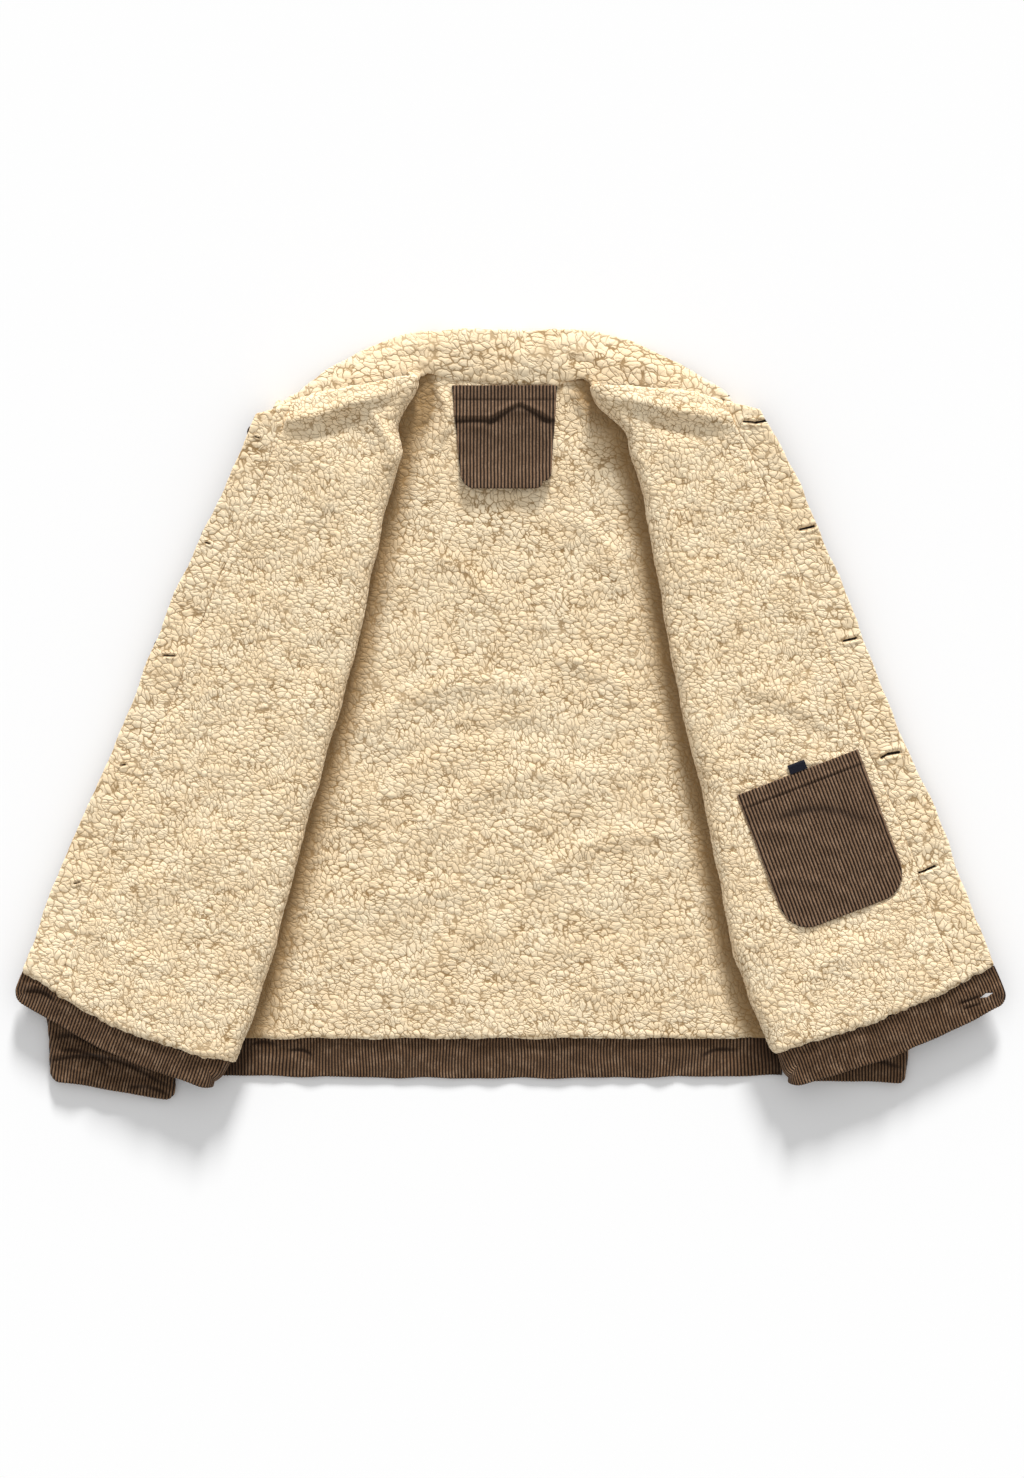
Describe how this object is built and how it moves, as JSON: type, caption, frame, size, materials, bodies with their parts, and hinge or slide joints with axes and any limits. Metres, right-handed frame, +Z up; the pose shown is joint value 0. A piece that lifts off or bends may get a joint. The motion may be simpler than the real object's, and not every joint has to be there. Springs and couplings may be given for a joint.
{
  "type": "sherpa lined jacket",
  "caption": "Corduroy jacket with a curly fleece lining, laid open on its back with both fronts folded out, to lie on a floor, bed or table.",
  "frame": {"origin": "middle of the bounding box's underside, on the underside of the back", "axes": "+X towards the wearer's left front, across the opened jacket; +Y from the hem to the collar; +Z up, from the back's outside to its lining"},
  "size_m": [0.9951, 0.7702, 0.0335],
  "materials": {
    "corduroy": "ribbed pile, matt",
    "corduroy_patches": "ribbed pile, matt",
    "sherpa": "curly pile, matt",
    "ribbon": "woven",
    "button": "satin"
  },
  "bodies": {
    "root": {"back_shell": "corduroy", "waistband_back": "corduroy", "front_shell_left": "corduroy", "front_shell_right": "corduroy", "waistband_left": "corduroy", "waistband_right": "corduroy", "sleeve_top_left": "corduroy", "sleeve_top_right": "corduroy", "sleeve_under_left": "corduroy", "sleeve_under_right": "corduroy", "cuff_left": "corduroy", "cuff_right": "corduroy", "collar_under": "corduroy", "neck_patch": "corduroy_patches", "inside_pocket": "corduroy_patches", "back_lining": "sherpa", "front_lining_left": "sherpa", "front_lining_right": "sherpa", "front_facing_left": "sherpa", "front_facing_right": "sherpa", "collar_top": "sherpa", "pocket_loop": "ribbon", "button_1": "button", "button_2": "button", "button_3": "button", "button_4": "button", "button_5": "button", "button_6": "button"}
  },
  "joints": []
}
